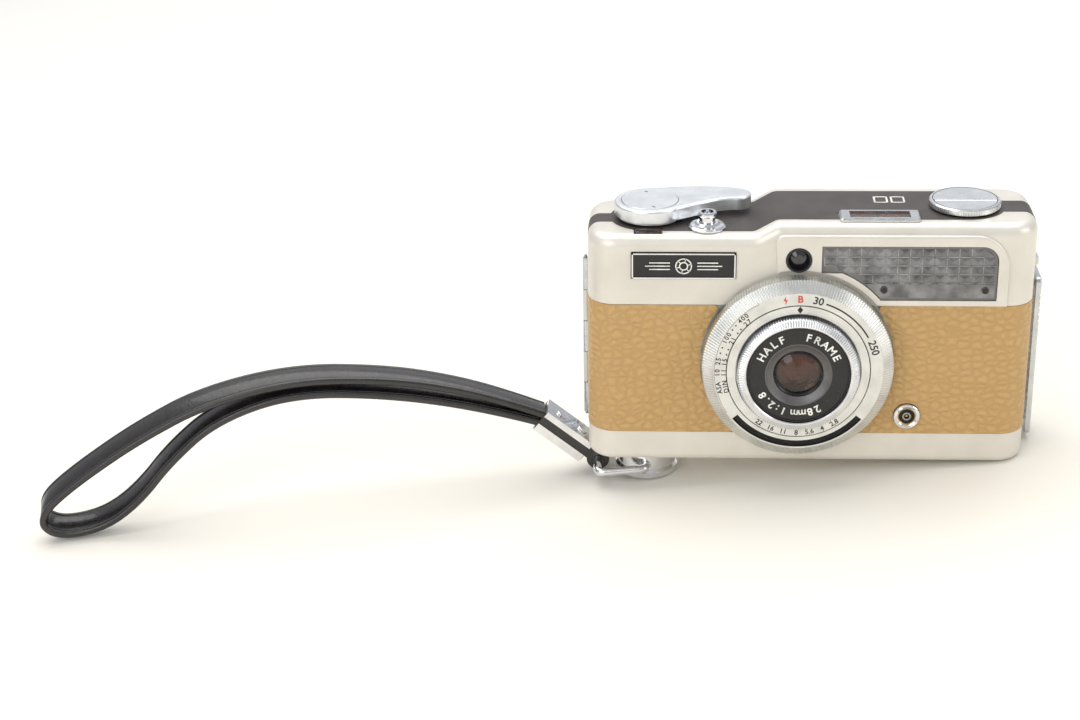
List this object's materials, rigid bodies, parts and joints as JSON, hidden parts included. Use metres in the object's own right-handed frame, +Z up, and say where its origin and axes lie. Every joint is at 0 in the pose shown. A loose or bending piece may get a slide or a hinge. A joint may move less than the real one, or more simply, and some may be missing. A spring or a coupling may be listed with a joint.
{
  "type": "half frame camera",
  "caption": "Compact half frame film camera with a light cell, lever wind, folding rewind crank, hinged back and a leather wrist strap on a screw in the tripod bush.",
  "frame": {"origin": "on the table, under the middle of the camera's own bounding box, strap left out", "axes": "+X along the body to the viewer's right, -Y the lens side, +Z up from the table; the body leans about Y because its left end stands on the strap screw"},
  "size_m": [0.2658, 0.0398, 0.0764],
  "materials": {
    "cover_silver": "pearl satin finish",
    "strip_dark": "fine grained dark enamel",
    "leather_tan": "tan hammered leather",
    "cast_alloy": "die cast, satin index face",
    "ring_silver": "satin anodised",
    "satin_chrome": "satin chrome",
    "chrome": "polished chrome",
    "plate_black": "black enamel with bright border",
    "black_metal": "black",
    "coated_glass": "amber coated glass",
    "clear_glass": "clear glass",
    "window_plastic": "clear moulded honeycomb",
    "selenium": "grey selenium layer",
    "steel": "turned steel",
    "brass": "turned brass",
    "black_plastic": "moulded",
    "dial_white": "painted",
    "blade_steel": "blued steel",
    "felt": "black felt",
    "strap_leather": "black smooth leather"
  },
  "bodies": {
    "body": {"main_casting": "cast_alloy", "top_cover": "cover_silver", "bottom_cover": "cover_silver", "top_strip": "strip_dark", "leather_left": "leather_tan", "leather_right": "leather_tan", "name_plate": "plate_black", "finder_bezel": "black_metal", "finder_objective": "clear_glass", "finder_prism": "clear_glass", "eyepiece_frame": "black_metal", "eyepiece_lens": "clear_glass", "cell_window": "window_plastic", "selenium_cell": "selenium", "sync_socket": "chrome", "sync_contact": "brass", "tripod_bush": "brass", "cover_screws": "chrome", "hinge_leaf": "satin_chrome", "hinge_pin": "steel", "shutter_case": "cast_alloy", "rear_cell": "black_metal", "rear_element": "coated_glass", "release_collar": "chrome", "counter_window": "window_plastic", "meter_bezel": "chrome", "meter_glass": "clear_glass", "meter_movement": "black_metal"},
    "door": {"back_door": "cover_silver", "door_leather": "leather_tan", "pressure_plate": "black_metal", "plate_spring": "steel", "light_seals": "felt"},
    "latch": {"latch_bar": "satin_chrome"},
    "winder": {"wind_lever": "satin_chrome", "lever_cap": "satin_chrome", "wind_shaft": "steel"},
    "sprocket": {"sprocket": "steel"},
    "spool": {"takeup_spool": "black_plastic"},
    "counter": {"counter_dial": "dial_white"},
    "button": {"release_button": "chrome"},
    "program": {"program_ring": "ring_silver"},
    "film_speed": {"film_speed_disc": "black_metal"},
    "focus": {"focus_ring": "chrome"},
    "lens_cell": {"front_cell": "black_metal", "front_element": "coated_glass"},
    "blade_upper": {"shutter_blade_upper": "blade_steel"},
    "blade_lower": {"shutter_blade_lower": "blade_steel"},
    "needle": {"meter_needle": "dial_white"},
    "pointer": {"match_pointer": "dial_white"},
    "rewind": {"rewind_shaft": "steel"},
    "knob": {"rewind_knob": "chrome"},
    "crank": {"rewind_crank": "chrome"},
    "release_pin": {"rewind_release": "satin_chrome"},
    "screw": {"strap_screw": "chrome"},
    "strap": {"strap_bail": "chrome", "strap_clip": "chrome", "clip_rivets": "chrome", "strap_tongue": "strap_leather", "strap": "strap_leather"}
  },
  "joints": [
    {"name": "door_swing", "type": "hinge", "parent": "body", "child": "door", "pos_m": [-0.05748, 0.0129, 0.03583], "axis": [0.0985, 0, 0.9951], "range_deg": [0, 110]},
    {"name": "latch_slide", "type": "slide", "parent": "body", "child": "latch", "axis": [0.0985, 0, 0.9951], "range_m": [0, 0.003]},
    {"name": "wind_lever_stroke", "type": "hinge", "parent": "body", "child": "winder", "pos_m": [-0.03741, 0.0043, 0.06902], "axis": [0.0985, 0, 0.9951], "range_deg": [0, 130], "stiffness_Nm_per_rad": 0.02, "springref_deg": -17.19},
    {"name": "sprocket_turn", "type": "hinge", "parent": "body", "child": "sprocket", "pos_m": [-0.02026, 0.0058, 0.03717], "axis": [0.0985, 0, 0.9951], "range_deg": [-184, 1]},
    {"name": "spool_turn", "type": "hinge", "parent": "body", "child": "spool", "pos_m": [-0.04037, 0.0043, 0.03916], "axis": [0.0985, 0, 0.9951], "range_deg": [-1, 134]},
    {"name": "counter_turn", "type": "hinge", "parent": "body", "child": "counter", "pos_m": [-0.03744, 0.0043, 0.06872], "axis": [0.0985, 0, 0.9951], "range_deg": [-0.5, 11]},
    {"name": "shutter_release_press", "type": "slide", "parent": "body", "child": "button", "axis": [-0.0985, 0, -0.9951], "range_m": [0, 0.0014], "stiffness_N_per_m": 200, "springref_m": -0.001},
    {"name": "program_ring_turn", "type": "hinge", "parent": "body", "child": "program", "pos_m": [-0.00328, -0.0157, 0.03408], "axis": [0, -1, 0], "range_deg": [-10.7, 70]},
    {"name": "film_speed_turn", "type": "hinge", "parent": "body", "child": "film_speed", "pos_m": [-0.00328, -0.0157, 0.03408], "axis": [0, -1, 0], "range_deg": [0, 60]},
    {"name": "focus_ring_turn", "type": "hinge", "parent": "body", "child": "focus", "pos_m": [-0.00328, -0.0157, 0.03408], "axis": [0, -1, 0], "range_deg": [0, 95]},
    {"name": "lens_cell_travel", "type": "slide", "parent": "body", "child": "lens_cell", "axis": [0, -1, 0], "range_m": [-0.00001, 0.00091]},
    {"name": "upper_blade_open", "type": "hinge", "parent": "body", "child": "blade_upper", "pos_m": [-0.01533, -0.0118, 0.03729], "axis": [0, -1, 0], "range_deg": [0, 40]},
    {"name": "lower_blade_open", "type": "hinge", "parent": "body", "child": "blade_lower", "pos_m": [0.00876, -0.0124, 0.03088], "axis": [0, -1, 0], "range_deg": [-2, 46]},
    {"name": "meter_needle_swing", "type": "hinge", "parent": "body", "child": "needle", "pos_m": [0.01981, 0.0073, 0.06637], "axis": [0.0985, 0, 0.9951], "range_deg": [-32, 32]},
    {"name": "match_pointer_swing", "type": "hinge", "parent": "body", "child": "pointer", "pos_m": [0.01977, 0.0073, 0.06597], "axis": [0.0985, 0, 0.9951], "range_deg": [-5, 27]},
    {"name": "rewind_turn", "type": "hinge", "parent": "body", "child": "rewind", "pos_m": [0.0413, 0.0038, 0.06122], "axis": [0.0985, 0, 0.9951], "continuous": true},
    {"name": "rewind_knob_lift", "type": "slide", "parent": "rewind", "child": "knob", "axis": [0.0985, 0, 0.9951], "range_m": [0, 0.008]},
    {"name": "rewind_crank_fold", "type": "hinge", "parent": "knob", "child": "crank", "pos_m": [0.04198, 0.0028, 0.06804], "axis": [0.9951, 0, -0.0985], "range_deg": [0, 100]},
    {"name": "rewind_release_press", "type": "slide", "parent": "body", "child": "release_pin", "axis": [0.0985, 0, 0.9951], "range_m": [0, 0.0012], "stiffness_N_per_m": 200, "springref_m": -0.001},
    {"name": "strap_screw_turn", "type": "hinge", "parent": "body", "child": "screw", "pos_m": [-0.04431, 0.0043, 0.00539], "axis": [0.0985, 0, 0.9951], "range_deg": [-8, 8]},
    {"name": "bail_swing", "type": "hinge", "parent": "screw", "child": "strap", "pos_m": [-0.04441, 0.0043, 0.00439], "axis": [0, 1, 0], "range_deg": [-45, 1]}
  ],
  "couplings": [
    {"joint": "sprocket_turn", "follows": "wind_lever_stroke", "ratio": -1.3846},
    {"joint": "spool_turn", "follows": "wind_lever_stroke", "ratio": 1},
    {"joint": "counter_turn", "follows": "wind_lever_stroke", "ratio": 0.0769},
    {"joint": "lens_cell_travel", "follows": "focus_ring_turn", "m_per_rad": 0.0005428},
    {"joint": "lower_blade_open", "follows": "upper_blade_open", "ratio": 1},
    {"joint": "match_pointer_swing", "follows": "program_ring_turn", "ratio": 0.35}
  ]
}
